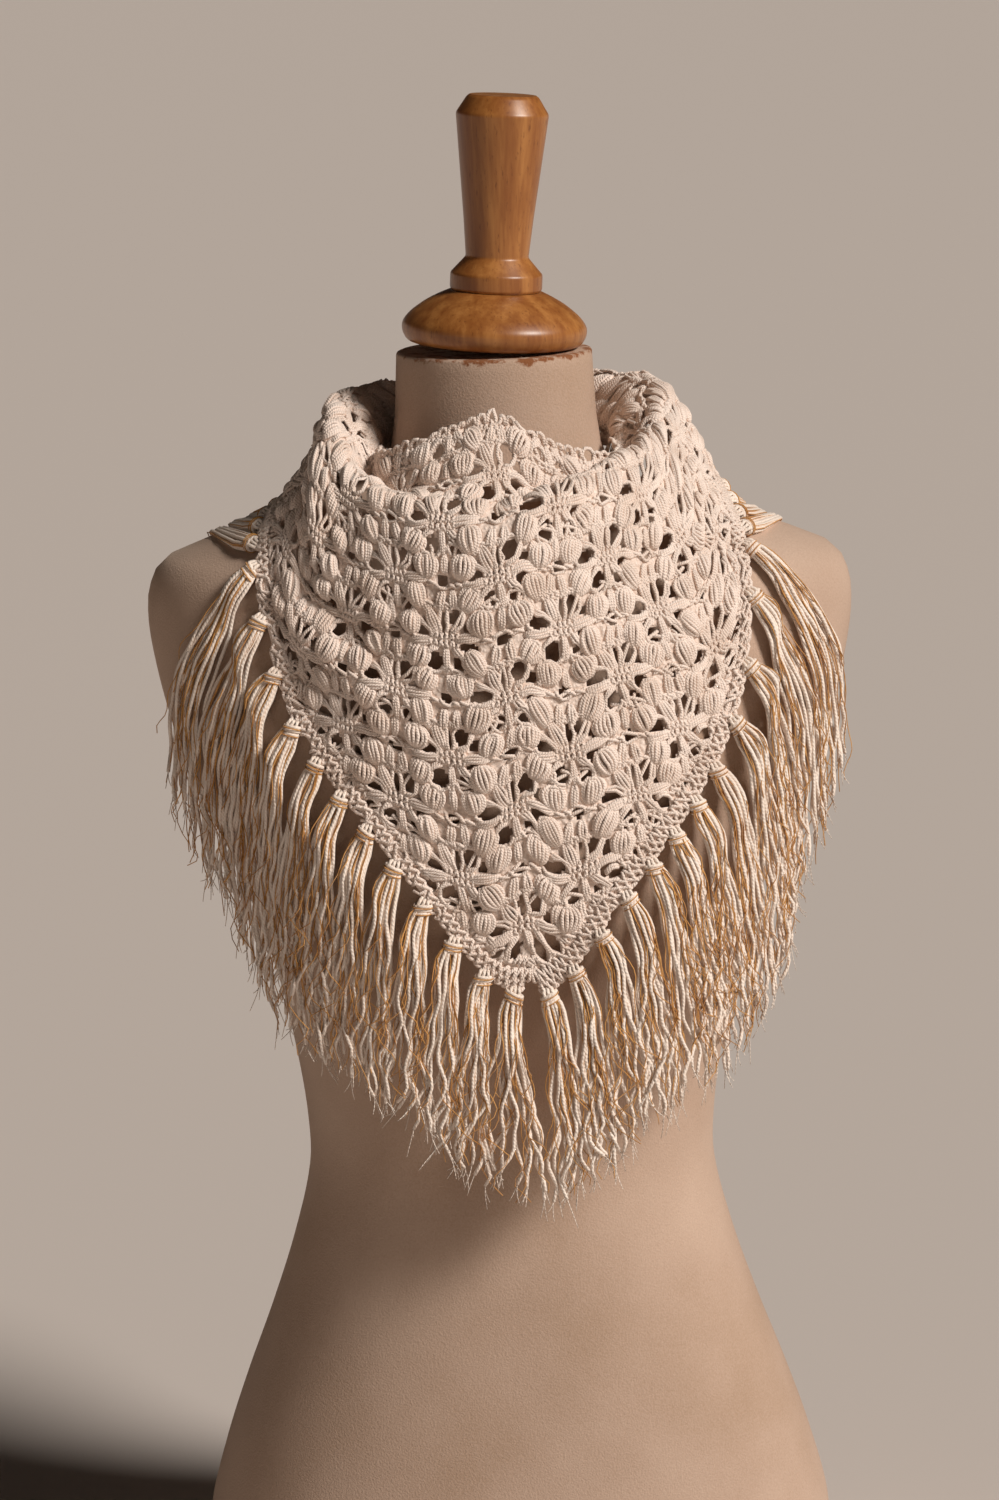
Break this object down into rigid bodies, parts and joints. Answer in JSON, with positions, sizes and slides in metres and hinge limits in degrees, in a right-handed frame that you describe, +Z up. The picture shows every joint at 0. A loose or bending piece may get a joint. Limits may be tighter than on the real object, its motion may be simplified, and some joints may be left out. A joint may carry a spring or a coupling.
{
  "type": "fringed crochet bandana on a limbless dress form",
  "caption": "Triangular crochet bandana with puff stitches and a tassel fringe, worn point down round the neck of a limbless dress form with a turned wooden handle.",
  "frame": {"origin": "centre of the flat base that the dress form stands on", "axes": "+Z up, -Y towards the front where the bandana's point hangs, +X to the right as seen from the front"},
  "size_m": [0.4, 0.2676, 0.8877],
  "materials": {
    "crochet": "matt ecru cotton yarn, crocheted",
    "fringe": "matt ecru cotton yarn with fine rust threads",
    "form_cover": "worn flocked beige cover",
    "turned_wood": "turned beech under a satin varnish"
  },
  "bodies": {
    "root": {"dress_form": "form_cover", "neck_cap": "turned_wood", "handle": "turned_wood", "cloth_front": "crochet", "cloth_wrap_left": "crochet", "cloth_wrap_right": "crochet", "cloth_end_left": "crochet", "cloth_end_right": "crochet", "edging_left": "crochet", "edging_right": "crochet", "tassel_left_01": "fringe", "tassel_left_02": "fringe", "tassel_left_03": "fringe", "tassel_left_04": "fringe", "tassel_left_05": "fringe", "tassel_left_06": "fringe", "tassel_left_07": "fringe", "tassel_left_08": "fringe", "tassel_left_09": "fringe", "tassel_left_10": "fringe", "tassel_left_11": "fringe", "tassel_left_12": "fringe", "tassel_left_13": "fringe", "tassel_left_14": "fringe", "tassel_left_15": "fringe", "tassel_left_16": "fringe", "tassel_left_17": "fringe", "tassel_left_18": "fringe", "tassel_left_19": "fringe", "tassel_left_20": "fringe", "tassel_right_01": "fringe", "tassel_right_02": "fringe", "tassel_right_03": "fringe", "tassel_right_04": "fringe", "tassel_right_05": "fringe", "tassel_right_06": "fringe", "tassel_right_07": "fringe", "tassel_right_08": "fringe", "tassel_right_09": "fringe", "tassel_right_10": "fringe", "tassel_right_11": "fringe", "tassel_right_12": "fringe", "tassel_right_13": "fringe", "tassel_right_14": "fringe", "tassel_right_15": "fringe", "tassel_right_16": "fringe", "tassel_right_17": "fringe", "tassel_right_18": "fringe", "tassel_right_19": "fringe", "tassel_right_20": "fringe"}
  },
  "joints": []
}
